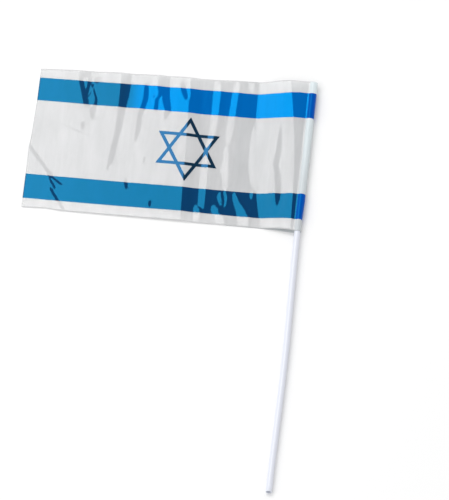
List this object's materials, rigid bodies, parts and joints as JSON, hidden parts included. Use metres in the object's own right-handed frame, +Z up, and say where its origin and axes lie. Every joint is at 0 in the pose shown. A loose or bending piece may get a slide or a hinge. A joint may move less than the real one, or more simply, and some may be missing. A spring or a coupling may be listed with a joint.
{
  "type": "hand flag on a stick",
  "caption": "Small film flag lying on its back, its hoist edge wrapped and welded round a slim hollow plastic stick.",
  "frame": {"origin": "middle of the whole flag's box, on the surface that it lies on", "axes": "+Y along the stick towards the sheet's top edge, +X from the sheet's free edge to the stick, +Z up from the surface, printed side up"},
  "size_m": [0.2738, 0.438, 0.0094],
  "materials": {
    "film": "thin glossy printed film, white with blue stripes",
    "stick": "smooth white extruded plastic tube"
  },
  "bodies": {
    "root": {"flag_film": "film", "stick": "stick"}
  },
  "joints": []
}
